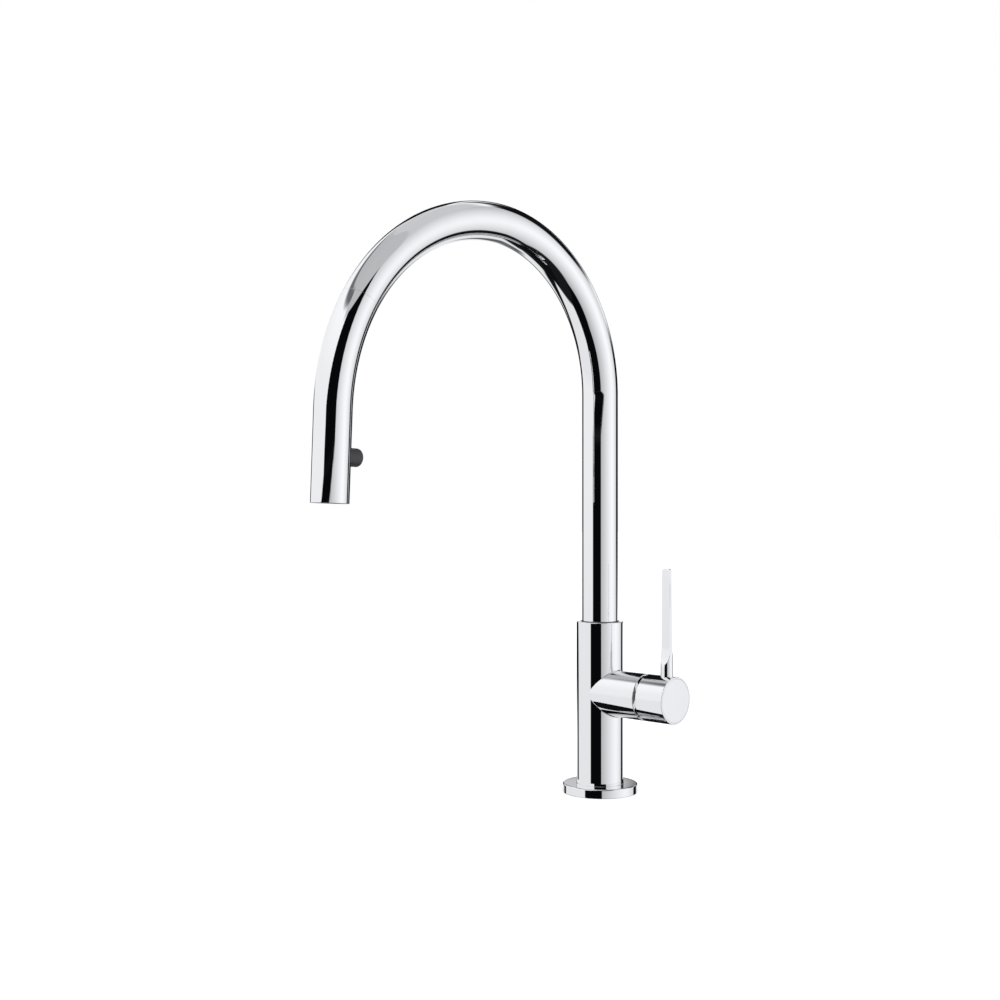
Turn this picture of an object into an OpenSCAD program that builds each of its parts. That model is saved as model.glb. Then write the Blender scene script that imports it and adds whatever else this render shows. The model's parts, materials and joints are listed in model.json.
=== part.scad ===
// Pull-down kitchen faucet: a column with a side branch, an arched spout that swivels,
// a spray head that pulls out of the arch, and a side lever on a ceramic disc cartridge.
// Millimetres. Origin: column axis on the worktop. +Z up, spout towards -Y, handle towards +X.

/* [Spout] */
// Outer radius of the spout tube
tube_r = 12.5; // [12.4:0.05:12.5]
// Wall of the spout tube
tube_wall = 1.5; // [1.4:0.1:1.6]
// Height at which the riser begins to bend
arch_z = 277.5; // [260:0.5:320]
// Bend radius of the rising half of the arch
arch_r1 = 106.5; // [100:0.5:115]
// Bend radius of the falling half of the arch
arch_r2 = 132.5; // [130:0.5:140]
// Path angle at which the bend ends and the outlet runs straight
arch_end = 177.5; // [176:0.5:178]
// Length of the straight stretch above the outlet
outlet_run = 54.8; // [50:0.1:60]
// Path angle at which the spray head parts from the arch
seam_angle = 148; // [145:1:150]

/* [Spray head] */
// Outer radius of the spray head
head_r = 11.7; // [11.6:0.05:11.75]
// Wall of the spray head
head_wall = 1.5; // [1.4:0.1:1.5]
// Height of the button's axis above the outlet
button_h = 27.5; // [26:0.5:30]
// Radius of the push button
button_r = 5.5; // [5.4:0.05:5.5]
// Number of spray nozzles round the outlet
nozzles = 20; // [12:1:24]

/* [Body] */
// Radius of the column
body_r = 16.4; // [16.3:0.1:16.5]
// Height of the column above the worktop
body_top = 119.5; // [119:0.5:121]
// Radius of the base flange
flange_r = 26.2; // [25:0.1:32]
// Thickness of the base flange
flange_h = 6.3; // [6:0.1:7]
// Height of the side branch's axis
branch_z = 70; // [69:0.5:71]
// Radius of the side branch and of the handle cap
branch_r = 16; // [15.5:0.1:16.2]
// Where the side branch ends
branch_end = 41.8; // [41.5:0.1:42]

/* [Handle] */
// Gap between the branch and the handle cap
cap_gap = 2.2; // [2:0.1:2.4]
// Length of the handle cap
cap_len = 22.3; // [22:0.1:24]
// Height of the lever's tip above the worktop
lever_top = 158.3; // [130:0.5:180]
// Width of the lever's blade
blade_w = 7; // [6:0.5:8]
// Thickness of the lever's blade
blade_t = 2.2; // [1.8:0.1:3]

/* [Mounting] */
// Thickness of the worktop that the shank clamps
deck_h = 30; // [10:1:40]
// Outer radius of the threaded shank
shank_r = 14; // [14:0.1:14.1]

/* [Hidden] */
$fn = 96;
eps = 0.01;
run = 0.05; // radial clearance of a running fit
seam_gap = 0.04; // angle left open between the arch and the spray head

// Spout path. A path angle is 0 on the riser and 90 at the top of the arch.
tube_in = tube_r - tube_wall;
arch2_z = arch_z + arch_r1 - arch_r2;
bend_out = arch_r1 - arch_r2 * cos(arch_end);
bend_z = arch2_z + arch_r2 * sin(arch_end);
reach = bend_out + outlet_run * sin(arch_end);
outlet_z = bend_z + outlet_run * cos(arch_end);
head_tilt = arch_end - 180;
head_in = head_r - head_wall;

// Body
flange_lip = 3;
shank_len = 73;
shank_top = 13;
shank_in = 12;
lower_cavity_r = 12.5;
manifold_lo = 50;
manifold_hi = 82;
upper_cavity_r = 11.5;
socket_lo = 96;
socket_r = 13.1;
mouth_lo = 113;
mouth_r = 13.3;

// Water ports in the manifold, and the seat of the cartridge
hose_r = 4.5;
hose_x = -6;
hose_hole_r = 6.2;
hose_turn_lo = 80;
hose_turn_hi = 94;
hose_top = 99.5;
port_r = 3.5;
port_depth = 11;
channel_r = 2;
inlet_x = 3.5;
inlet_y = 7.5;
inlet_up = -2;
mixed_x = 8.5;
mixed_up = 7;
seat_x = 17.5;
cartridge_r = 12.7;

// Cartridge, along X
seal_t = 1;
disc_r = 10.9;
housing_bore = 11;
housing_base = 1.5;
fixed_x = seat_x + seal_t + housing_base;
disc_t = 2;
moving_x = fixed_x + disc_t + 0.02;
moving_r = 7.8;
carrier_x = moving_x + disc_t;
pivot_x = 31;
ball_x = 26.2;
ball_r = 2;
guide_x = 28.6;
guide_neck_x = 37.5;
guide_end_x = 44;
stem_r = 3;
pin_r = 1.5;

// Handle
cap_x = branch_end + cap_gap;
cap_end = cap_x + cap_len;
cap_in = branch_r - 2;
skirt = 8;
plate_t = 3;
plate_r = branch_r - 1.3;
lever_x = cap_x + 14.65;
lever_r = 4.2;
runout_lo = 97;
runout_hi = 104.6;

function bend_point(angle) =
  [0, -(arch_r1 - arch_r2 * cos(angle)), arch2_z + arch_r2 * sin(angle)];
// Radius of the arc that starts depth off a face and meets the face after length
function runout_r(depth, length) = (depth * depth + length * length) / (2 * depth);

// ---- Shared shapes ----

// Frame at a point of the falling half of the arch, +Z along the way to the outlet
module on_bend(angle) translate(bend_point(angle)) rotate([angle, 0, 0]) children();

// Frame at the outlet, +Z up the head's axis and +Y towards the column
module at_outlet() translate([0, -reach, outlet_z]) rotate([head_tilt, 0, 0]) children();

// Frame at the button, +Z out of the head towards the column
module at_button() at_outlet() translate([0, 0, button_h]) rotate([-90, 0, 0]) children();

// Frame whose +Z is +X at the height of the branch
module along_branch(x) translate([x, 0, branch_z]) rotate([0, 90, 0]) children();

module ring(outer, inner, height) difference() {
  cylinder(r = outer, h = height);
  translate([0, 0, -1]) cylinder(r = inner, h = height + 2);
}

module o_ring(middle, section) rotate_extrude() translate([middle, 0]) circle(section, $fn = 32);

module annulus(outer, inner) difference() {
  circle(outer);
  circle(inner);
}

// The child outline, bent along part of one half of the arch
module bend(radius, centre_z, from, to) translate([0, -arch_r1, centre_z])
  rotate([90, 0, 90]) rotate([0, 0, from]) rotate_extrude(angle = to - from)
    translate([radius, 0]) children();

// The child outline, carried from a height on the riser to a path angle. Its x axis keeps
// to the outer side of the arch
module along_spout(from_z, to_angle) {
  translate([0, 0, from_z]) rotate([0, 0, 90]) linear_extrude(arch_z - from_z) children();
  bend(arch_r1, arch_z, 0, 90) children();
  bend(arch_r2, arch2_z, 90, to_angle) children();
}

// The child outline, carried from a path angle to a height above the outlet
module along_head(from_angle, to_h) at_outlet() {
  translate([0, arch_r2, outlet_run]) rotate([90, 0, -90])
    rotate_extrude(angle = arch_end - from_angle) translate([arch_r2, 0]) children();
  translate([0, 0, to_h]) rotate([0, 0, -90]) linear_extrude(outlet_run - to_h) children();
}

// A turned disc with both rims chamfered
module chamfered(radius, height, low, high) rotate_extrude() polygon([
  [0, 0], [radius - low, 0], [radius, low], [radius, height - high],
  [radius - high, height], [0, height]
]);

// Cold, hot and mixed ports, seen along the cartridge
module cartridge_ports(radius, height) {
  for (y = [-inlet_y, inlet_y]) translate([-inlet_up, y, -1]) cylinder(r = radius, h = height);
  translate([-mixed_up, 0, -1]) cylinder(r = radius, h = height);
}

// ---- Body ----

module water_channel(x, y, up) {
  translate([x, y, manifold_lo - 1]) cylinder(r = port_r, h = port_depth + 1);
  translate([x, y, manifold_lo]) cylinder(r = channel_r, h = branch_z + up - manifold_lo);
  translate([x, y, branch_z + up]) sphere(channel_r);
  translate([x, y, branch_z + up]) rotate([0, 90, 0]) cylinder(r = channel_r, h = seat_x + 1 - x);
}

module column_bores() {
  translate([0, 0, flange_lip - 1]) cylinder(r = shank_r + run, h = shank_top + 2 - flange_lip + 1);
  translate([0, 0, shank_top]) cylinder(r = lower_cavity_r, h = manifold_lo - shank_top);
  translate([hose_x, 0, manifold_lo - 1]) cylinder(r = hose_hole_r, h = manifold_hi - manifold_lo + 2);
  translate([0, 0, manifold_hi]) cylinder(r = upper_cavity_r, h = socket_lo - manifold_hi + 1);
  translate([0, 0, socket_lo]) cylinder(r = socket_r, h = body_top - socket_lo);
  translate([0, 0, mouth_lo]) cylinder(r = mouth_r, h = body_top - mouth_lo + 1);
}

module main_body() color("silver") difference() {
  union() {
    translate([0, 0, flange_lip]) chamfered(body_r, body_top - flange_lip, 0.5, 0.6);
    along_branch(0) chamfered(branch_r, branch_end, 0.1, 0.5);
  }
  column_bores();
  water_channel(inlet_x, -inlet_y, inlet_up);
  water_channel(inlet_x, inlet_y, inlet_up);
  water_channel(mixed_x, 0, mixed_up);
  along_branch(seat_x) cylinder(r = cartridge_r, h = branch_end - seat_x + 1);
  stop_screw_hole();
}

stop_z = 103;
stop_screw_r = 2;

module stop_screw_hole() translate([0, 0, stop_z]) rotate([-90, 0, 0])
  cylinder(r = stop_screw_r, h = body_r + 1);

module swivel_stop_screw() color("dimgray") translate([0, 0, stop_z]) rotate([-90, 0, 0])
  difference() {
    translate([0, 0, 12.1]) cylinder(r = stop_screw_r, h = 3.4);
    translate([0, 0, 14.2]) cylinder(r = 1.15, h = 2, $fn = 6);
  }

module base_flange() color("silver") difference() {
  union() {
    cylinder(r = flange_r, h = flange_h - 1);
    translate([0, 0, flange_h - 1]) cylinder(r = flange_r - 1, h = 1);
    translate([0, 0, flange_h - 1]) o_ring(flange_r - 1, 1);
  }
  translate([0, 0, -1]) cylinder(r = shank_r + 0.2, h = flange_h + 2);
  translate([0, 0, flange_lip]) cylinder(r = body_r + 0.1, h = flange_h);
  translate([0, 0, -1]) ring(24, 20, 2.5);
}

module flange_gasket() color("dimgray") ring(24, 20, 1.5);

module threaded_shank() color("goldenrod")
  translate([0, 0, shank_top - shank_len]) ring(shank_r, shank_in, shank_len);

module deck_seal_washer() color("dimgray") translate([0, 0, -deck_h - 3]) ring(25, shank_r + 0.4, 3);

module clamp_washer() color("gainsboro") translate([0, 0, -deck_h - 5]) ring(24.5, shank_r + 0.4, 2);

module mounting_nut() color("goldenrod") translate([0, 0, -deck_h - 15]) difference() {
  cylinder(r = 22, h = 10, $fn = 6);
  translate([0, 0, -1]) cylinder(r = shank_r + run, h = 12);
}

module upper_glide_ring() color("dimgray") translate([0, 0, mouth_lo])
  ring(mouth_r - 0.05, tube_r + run, body_top - mouth_lo + 0.4);

module thrust_ring() color("whitesmoke") translate([0, 0, socket_lo]) ring(socket_r - 0.1, upper_cavity_r, 1);

// The lower end of the pull hose, which stands still in the column
module hose_tail() color("slategray") {
  lean = atan2(-hose_x, hose_turn_hi - hose_turn_lo);
  slant = sqrt(pow(hose_x, 2) + pow(hose_turn_hi - hose_turn_lo, 2));
  translate([hose_x, 0, shank_top - shank_len])
    cylinder(r = hose_r, h = hose_turn_lo - shank_top + shank_len);
  translate([hose_x, 0, hose_turn_lo]) sphere(hose_r);
  translate([hose_x, 0, hose_turn_lo]) rotate([0, lean, 0]) cylinder(r = hose_r, h = slant);
  translate([0, 0, hose_turn_hi]) sphere(hose_r);
  translate([0, 0, hose_turn_hi]) cylinder(r = hose_r, h = hose_top - hose_turn_hi);
}

module hose_end_fitting() color("goldenrod")
  translate([hose_x, 0, shank_top - shank_len - 18]) difference() {
    union() {
      cylinder(r = 4, h = 12);
      translate([0, 0, 8]) cylinder(r = 5.5, h = 4);
      translate([0, 0, 12]) cylinder(r = 5, h = 6);
      translate([0, 0, 2.5]) o_ring(3.7, 0.7);
    }
    translate([0, 0, -1]) cylinder(r = 2.8, h = 17);
  }

// ---- Cartridge ----

module cartridge_port_seal() color("dimgray") along_branch(seat_x) difference() {
  cylinder(r = 11.5, h = seal_t);
  cartridge_ports(channel_r, seal_t + 2);
}

module cartridge_housing() color("whitesmoke") along_branch(seat_x + seal_t) difference() {
  cylinder(r = cartridge_r - 0.1, h = guide_neck_x + 1 - seat_x - seal_t);
  cartridge_ports(channel_r, housing_base + 2);
  translate([0, 0, housing_base]) cylinder(r = housing_bore, h = 30);
}

module fixed_ceramic_disc() color("white") along_branch(fixed_x) difference() {
  cylinder(r = disc_r, h = disc_t);
  cartridge_ports(channel_r, disc_t + 2);
}

// The pocket in its face joins the inlets to the outlet as the disc rises
module moving_ceramic_disc() color("white") along_branch(moving_x) difference() {
  cylinder(r = moving_r, h = disc_t);
  translate([-2.2, 0, -1]) cylinder(r = 4.6, h = 2.2);
}

lug_y = 6;

module disc_carrier() color("steelblue") difference() {
  intersection() {
    along_branch(carrier_x) cylinder(r = moving_r, h = 3.7);
    translate([carrier_x, -lug_y, branch_z - 10]) cube([5, 2 * lug_y, 20]);
  }
  along_branch(carrier_x + 0.1) cylinder(r = ball_r + run, h = 6);
}

// Turns in the housing. Two lugs drive the carrier, and a slot lets the stem tilt
module cartridge_guide() color("steelblue") difference() {
  union() {
    along_branch(guide_x) cylinder(r = housing_bore - run, h = guide_neck_x - guide_x);
    along_branch(guide_neck_x) cylinder(r = 7.4, h = guide_end_x - guide_neck_x);
    for (side = [-1, 1])
      translate([guide_x - 3, side > 0 ? lug_y + 0.1 : -lug_y - 2.6, branch_z - 3.5]) cube([4, 2.5, 7]);
  }
  translate([guide_x - 1, -stem_r - 0.1, branch_z - 8.4]) cube([20, 2 * stem_r + 0.2, 12.1]);
  pivot_bar(pin_r + run, 40);
}

module pivot_bar(radius, length) translate([pivot_x, 0, branch_z]) rotate([90, 0, 0])
  cylinder(r = radius, h = length, center = true);

module pivot_pin() color("lightsteelblue") pivot_bar(pin_r, 19);

module cartridge_ring_nut() color("goldenrod") along_branch(guide_neck_x + 1) difference() {
  cylinder(r = cartridge_r, h = branch_end - guide_neck_x - 1.4);
  translate([0, 0, -1]) cylinder(r = 7.6, h = 8);
  for (turn = [0:90:270]) rotate([0, 0, turn]) translate([10, 0, 1.4]) cylinder(r = 1.2, h = 4);
}

// ---- Spout ----

tube_lo = 108;

module spout_tube() color("silver") along_spout(tube_lo, seam_angle - seam_gap) annulus(tube_r, tube_in);

insert_lo = 97;
groove_lo = 100.8;
groove_h = 4.4;
swivel_half = 75;

// Brazed into the riser. Its groove and the stop screw limit the swivel
module swivel_insert() color("goldenrod") difference() {
  union() {
    translate([0, 0, insert_lo]) cylinder(r = socket_r - run, h = tube_lo - insert_lo);
    translate([0, 0, tube_lo]) cylinder(r = tube_in, h = 14);
  }
  translate([0, 0, insert_lo - 1]) cylinder(r = 9, h = 30);
  rotate([0, 0, 90 - swivel_half - 11]) rotate_extrude(angle = 2 * (swivel_half + 11))
    translate([11.6, groove_lo]) square([5, groove_h]);
}

bush_len = 14;
spigot_r = 8;

module docking_bush() color("whitesmoke") on_bend(seam_angle) translate([0, 0, -bush_len])
  ring(10.2, spigot_r + run, bush_len);

// Upper stretch of the hose, in the riser and the arch
module pull_hose() color("slategray") along_spout(hose_top + 0.1, seam_angle - 7.2) circle(hose_r);

// ---- Spray head ----

module head_shell() color("silver") difference() {
  along_head(seam_angle, 0) annulus(head_r, head_in);
  at_button() cylinder(r = button_r + 0.1, h = 20);
}

module head_inlet() color("whitesmoke") on_bend(seam_angle) difference() {
  union() {
    translate([0, 0, -12]) cylinder(r = spigot_r, h = 12.5);
    translate([0, 0, 0.4]) cylinder(r = 9.9, h = 6.4);
  }
  translate([0, 0, -13]) cylinder(r = 5.5, h = 15);
  translate([0, 0, 1]) cylinder(r = 4, h = 7);
  translate([0, 0, -5]) ring(9, 6.6, 1.6);
}

module docking_o_ring() color("dimgray") on_bend(seam_angle) translate([0, 0, -4.2]) o_ring(7.3, 0.7);

module hose_ferrule() color("goldenrod") on_bend(seam_angle) translate([0, 0, -16]) ring(5.45, 3.2, 17.6);

module check_valve() color("steelblue") on_bend(seam_angle) translate([0, 0, 2.3]) difference() {
  cylinder(r = 3.95, h = 4.4);
  translate([0, 0, 1.2]) cylinder(r = 3.2, h = 4);
  for (turn = [0:60:300]) rotate([0, 0, turn]) translate([2, 0, -1]) cylinder(r = 0.7, h = 4);
}

block_lo = 14;
block_hi = 44;

module waterway_tube() color("whitesmoke") along_head(seam_angle + 3.2, block_hi) annulus(4.5, 3.3);

spool_r = 3.5;
pocket_z = 4.5;
spray_x = 7.2;

module valve_block() color("whitesmoke") difference() {
  at_outlet() translate([0, 0, block_lo]) cylinder(r = head_in - 0.1, h = block_hi - block_lo);
  at_outlet() translate([0, 0, button_h]) cylinder(r = 3.3, h = 20);
  at_outlet() translate([0, -3.5, block_lo - 1]) cylinder(r = 2.4, h = button_h - block_lo + 1);
  at_outlet() translate([spray_x, 1.2, block_lo - 1]) cylinder(r = 1.6, h = button_h - block_lo);
  at_outlet() translate([0, 1.2, button_h - 1.5]) rotate([0, 90, 0]) cylinder(r = 1.4, h = spray_x);
  at_button() translate([0, 0, -7.5]) cylinder(r = spool_r + run, h = 20);
  at_button() translate([0, 0, pocket_z]) cylinder(r = button_r + 0.35, h = 10);
}

aerator_r = 7.8;

module aerator() color("whitesmoke") at_outlet() difference() {
  union() {
    translate([0, 0, 1]) cylinder(r = aerator_r, h = 9);
    translate([0, 0, 10]) cylinder(r = 5, h = 3.8);
  }
  translate([0, 0, 0.5]) cylinder(r = 6.8, h = 7);
  translate([0, 0, 3]) cylinder(r = 2.4, h = 12);
}

// Cross-ribbed disc that the stream leaves through
module aerator_screen() color("lightgray") at_outlet() translate([0, 0, 1.4]) {
  ring(6.7, 6, 1.4);
  intersection() {
    cylinder(r = 6.3, h = 1);
    for (turn = [0, 90]) rotate([0, 0, turn])
      for (x = [-4.8:1.6:4.8]) translate([x - 0.2, -8, 0]) cube([0.4, 16, 1]);
  }
}

module spray_plate() color("dimgray") at_outlet() difference() {
  union() {
    translate([0, 0, 0.8]) ring(head_in - 0.1, aerator_r + 0.1, 2.4);
    for (i = [0:nozzles - 1]) rotate([0, 0, i * 360 / nozzles])
      translate([9, 0, 0.2]) cylinder(r = 0.8, h = 1.5, $fn = 24);
  }
  for (i = [0:nozzles - 1]) rotate([0, 0, i * 360 / nozzles])
    translate([9, 0, -1]) cylinder(r = 0.4, h = 5, $fn = 24);
}

module spray_plate_seal() color("black") at_outlet() translate([0, 0, 3.2]) ring(head_in - 0.1, 9.6, 1.5);

// ---- Button, which carries the diverter ----

button_in = 10;
button_tip = 20.8;
button_round = 2.4;
spool_lo = -4.6;
land_groove = [-3.2, 2.6];

module spray_button() color([0.16, 0.16, 0.17]) at_button() rotate_extrude() {
  translate([0, button_in]) square([button_r, button_tip - button_round - button_in]);
  translate([0, button_in]) square([button_r - button_round, button_tip - button_in]);
  translate([button_r - button_round, button_tip - button_round]) intersection() {
    circle(button_round);
    square(button_round);
  }
}

module diverter_spool() color("goldenrod") at_button() difference() {
  translate([0, 0, spool_lo]) cylinder(r = spool_r, h = button_in - spool_lo);
  translate([0, 0, -1.2]) ring(5, 2, 2.4);
  for (z = land_groove) translate([0, 0, z - 0.65]) ring(5, 2.3, 1.3);
}

module spool_o_rings() color("black") at_button()
  for (z = land_groove) translate([0, 0, z]) o_ring(2.9, 0.6);

spring_turns = 4;
spring_wire = 0.35;
spring_mid = 4.3;
spring_steps = 12;
spring_sides = 6;
spring_rings = spring_turns * spring_steps;
spring_len = button_in - pocket_z - 2 * spring_wire;

function spring_vertex(i, side) =
  let (turn = i * 360 / spring_steps, about = side * 360 / spring_sides,
       out = spring_mid + spring_wire * cos(about))
  [out * cos(turn), out * sin(turn),
   pocket_z + spring_wire + spring_len * i / spring_rings + spring_wire * sin(about)];

module button_spring() color("silver") at_button() polyhedron(
  points = [for (i = [0:spring_rings], side = [0:spring_sides - 1]) spring_vertex(i, side)],
  faces = concat(
    [[for (side = [0:spring_sides - 1]) side]],
    [[for (side = [spring_sides - 1:-1:0]) spring_rings * spring_sides + side]],
    [for (i = [0:spring_rings - 1], side = [0:spring_sides - 1])
      let (next = (side + 1) % spring_sides, row = i * spring_sides)
      [row + side, row + spring_sides + side, row + spring_sides + next, row + next]]
  )
);

// ---- Handle ----

stem_end = cap_x + 16;
spigot = 2.5;

module handle_cap() color("silver") difference() {
  along_branch(cap_x) chamfered(branch_r, cap_len, 0.5, 0.5);
  along_branch(cap_x - 1) cylinder(r = cap_in, h = skirt + 1);
  along_branch(cap_x - eps) cylinder(r1 = cap_in + 1, r2 = cap_in, h = 1);
  along_branch(cap_x) cylinder(r = stem_r + run, h = stem_end - cap_x);
  along_branch(cap_end - plate_t) cylinder(r = plate_r + run, h = plate_t + 1);
  translate([lever_x, 0, branch_z + 9]) cylinder(r = spigot + run, h = branch_r);
  translate([lever_x - 2.5, 0, branch_z]) rotate([180, 0, 0]) cylinder(r = spigot + run, h = branch_r + 1);
}

module cap_end_plate() color("silver") along_branch(cap_end - plate_t) chamfered(plate_r, plate_t, 0.2, 0.25);

// Spigot in the cap, foot that sits on the cap's curve, milled run-out and flat blade
module lever_rod() color("silver") {
  translate([lever_x, 0, branch_z + 9.1]) cylinder(r = spigot, h = branch_r - 8.6);
  difference() {
    translate([lever_x, 0, branch_z + 12]) cylinder(r = lever_r, h = lever_top - branch_z - 12);
    along_branch(cap_x) cylinder(r = branch_r + run, h = cap_len);
    translate([lever_x, 0, 0]) for (side = [0, 180]) rotate([0, 0, side]) {
      runout(lever_r - blade_t / 2);
      rotate([0, 0, 90]) runout(lever_r - blade_w / 2);
    }
  }
}

// Cuts one side of the lever back by depth, with a round run-out at the foot
module runout(depth) {
  cutter = runout_r(depth, runout_hi - runout_lo);
  translate([-10, lever_r - depth, runout_hi]) cube([20, 10, lever_top]);
  intersection() {
    translate([0, lever_r - depth + cutter, runout_hi]) rotate([0, 90, 0])
      cylinder(r = cutter, h = 20, center = true, $fn = 180);
    translate([-10, lever_r - depth - eps, runout_lo - eps]) cube([20, 10, runout_hi - runout_lo + 2 * eps]);
  }
}

module cartridge_stem() color("gainsboro") {
  along_branch(ball_x) sphere(ball_r, $fn = 64);
  along_branch(ball_x) cylinder(r = 1.3, h = pivot_x - 2 - ball_x);
  difference() {
    along_branch(pivot_x - 2.2) cylinder(r = stem_r, h = stem_end - 0.1 - pivot_x + 2.2);
    pivot_bar(pin_r + run, 20);
  }
}

module handle_set_screw() color("dimgray")
  translate([lever_x - 2.5, 0, branch_z - stem_r]) rotate([180, 0, 0]) difference() {
    cylinder(r = 2.5, h = 7);
    translate([0, 0, 4.5]) cylinder(r = 1.4, h = 4, $fn = 6);
  }

module set_screw_plug() color("silver")
  translate([lever_x - 2.5, 0, branch_z - branch_r + 1.9]) rotate([180, 0, 0]) cylinder(r = 2.45, h = 1.5);

main_body();
base_flange();
flange_gasket();
threaded_shank();
deck_seal_washer();
clamp_washer();
mounting_nut();
upper_glide_ring();
thrust_ring();
swivel_stop_screw();
hose_tail();
hose_end_fitting();
cartridge_port_seal();
cartridge_housing();
fixed_ceramic_disc();
cartridge_ring_nut();
spout_tube();
swivel_insert();
docking_bush();
pull_hose();
head_shell();
head_inlet();
docking_o_ring();
hose_ferrule();
check_valve();
waterway_tube();
valve_block();
aerator();
aerator_screen();
spray_plate();
spray_plate_seal();
button_spring();
spray_button();
diverter_spool();
spool_o_rings();
cartridge_guide();
pivot_pin();
moving_ceramic_disc();
disc_carrier();
handle_cap();
cap_end_plate();
lever_rod();
cartridge_stem();
handle_set_screw();
set_screw_plug();
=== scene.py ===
"""Looks for the pull-down kitchen faucet: chrome skins, hose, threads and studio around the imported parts."""
import json
import math

import bmesh
import bpy
from mathutils import Matrix, Vector


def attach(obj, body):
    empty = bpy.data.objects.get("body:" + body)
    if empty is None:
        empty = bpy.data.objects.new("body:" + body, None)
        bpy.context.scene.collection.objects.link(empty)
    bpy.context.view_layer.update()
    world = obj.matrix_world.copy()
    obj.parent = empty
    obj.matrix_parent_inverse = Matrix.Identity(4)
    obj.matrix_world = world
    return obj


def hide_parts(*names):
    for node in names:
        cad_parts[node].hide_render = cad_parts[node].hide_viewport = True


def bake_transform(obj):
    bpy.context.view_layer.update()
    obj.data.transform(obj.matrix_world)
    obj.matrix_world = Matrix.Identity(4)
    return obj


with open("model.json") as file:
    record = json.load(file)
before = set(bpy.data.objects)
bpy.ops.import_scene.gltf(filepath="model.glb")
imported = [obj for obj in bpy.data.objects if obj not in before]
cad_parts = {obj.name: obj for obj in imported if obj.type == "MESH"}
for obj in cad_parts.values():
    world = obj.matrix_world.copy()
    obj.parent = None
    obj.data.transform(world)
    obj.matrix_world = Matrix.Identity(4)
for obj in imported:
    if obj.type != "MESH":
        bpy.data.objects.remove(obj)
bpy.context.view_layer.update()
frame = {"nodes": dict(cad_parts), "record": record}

NODES = frame["nodes"]
SLOT_OF = {row["node"]: row["material_slot"] for row in frame["record"]["subparts"]}
MM = 0.001

# ---- Driving dimensions, in millimetres, as in the part ----

TUBE_R = 12.5
TUBE_IN = 11.0
TUBE_LO = 108.0
ARCH_Z = 277.5
ARCH_R1 = 106.5
ARCH_R2 = 132.5
ARCH_END = math.radians(177.5)
SEAM = math.radians(148.0)
OUTLET_RUN = 54.8
NOZZLE_R = 11.4
HEAD_IN = 10.2
BUTTON_H = 27.5
BUTTON_R = 5.5
BUTTON_IN = 10.0
BUTTON_TIP = 20.8
BODY_R = 16.4
BODY_LO = 3.0
BODY_TOP = 119.5
MOUTH_R = 13.3
BRANCH_Z = 70.0
BRANCH_R = 16.0
BRANCH_END = 41.8
CARTRIDGE_R = 12.7
SEAT_X = 17.5
CAP_X = 44.0
CAP_END = 66.3
PLATE_R = 14.7
LEVER_X = 58.65
LEVER_R = 4.2
LEVER_TOP = 158.3
FLANGE_R = 26.2
FLANGE_H = 6.3
HOSE_R = 4.5
SHANK_R = 14.0
SHANK_IN = 12.0
SHANK_LO = -60.0
SHANK_TOP = 13.0
DECK_H = 30.0

ARCH2_Z = ARCH_Z + ARCH_R1 - ARCH_R2
RISE_LEN = ARCH_R1 * math.pi / 2
FALL_LEN = ARCH_R2 * (ARCH_END - math.pi / 2)
PATH_END = RISE_LEN + FALL_LEN + OUTLET_RUN
SEAM_U = RISE_LEN + ARCH_R2 * (SEAM - math.pi / 2)


def spout_point(u):
    """Centre and path angle of the spout, u mm past the riser's top. The riser itself has u below 0."""
    if u < 0:
        return Vector((0, 0, ARCH_Z + u)), 0.0
    if u < RISE_LEN:
        a = u / ARCH_R1
        return Vector((0, -ARCH_R1 * (1 - math.cos(a)), ARCH_Z + ARCH_R1 * math.sin(a))), a
    a = min(math.pi / 2 + (u - RISE_LEN) / ARCH_R2, ARCH_END)
    bend = Vector((0, -ARCH_R1 + ARCH_R2 * math.cos(a), ARCH2_Z + ARCH_R2 * math.sin(a)))
    straight = max(0.0, u - RISE_LEN - FALL_LEN)
    return bend + straight * Vector((0, -math.sin(a), math.cos(a))), a


def spout_radius(u):
    """The tube thins from the top of the arch to the outlet."""
    share = max(0.0, (u - RISE_LEN) / (PATH_END - RISE_LEN))
    return NOZZLE_R + (TUBE_R - NOZZLE_R) * (1 - share) ** 2


OUTLET, _ = spout_point(PATH_END)
SEAM_POINT, _ = spout_point(SEAM_U)
HEAD_FRAME = Matrix.Translation(OUTLET) @ Matrix.Rotation(ARCH_END - math.pi, 4, "X")
SEAM_FRAME = Matrix.Translation(SEAM_POINT) @ Matrix.Rotation(SEAM, 4, "X")
BUTTON_FRAME = HEAD_FRAME @ Matrix.Translation((0, 0, BUTTON_H)) @ Matrix.Rotation(-math.pi / 2, 4, "X")
BRANCH_FRAME = Matrix.Translation((0, 0, BRANCH_Z)) @ Matrix.Rotation(math.pi / 2, 4, "Y")

# ---- Mesh building ----


def sharpen(mesh, angle=35.0):
    """Smooth shading, with the edges steeper than angle kept crisp."""
    bm = bmesh.new()
    bm.from_mesh(mesh)
    bmesh.ops.remove_doubles(bm, verts=bm.verts, dist=1e-7)
    bmesh.ops.recalc_face_normals(bm, faces=bm.faces)
    for face in bm.faces:
        face.smooth = True
    for edge in bm.edges:
        edge.smooth = not (len(edge.link_faces) == 2 and edge.calc_face_angle(0) > math.radians(angle))
    bm.to_mesh(mesh)
    bm.free()


def piece(name, verts, faces, weighted=True):
    """A new object from points in millimetres in the row frame."""
    mesh = bpy.data.meshes.new(name)
    mesh.from_pydata([Vector(v) * MM for v in verts], [], faces)
    sharpen(mesh)
    obj = bpy.data.objects.new(name, mesh)
    bpy.context.scene.collection.objects.link(obj)
    if weighted:
        normals = obj.modifiers.new("normals", "WEIGHTED_NORMAL")
        normals.keep_sharp = True
    return obj


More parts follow.
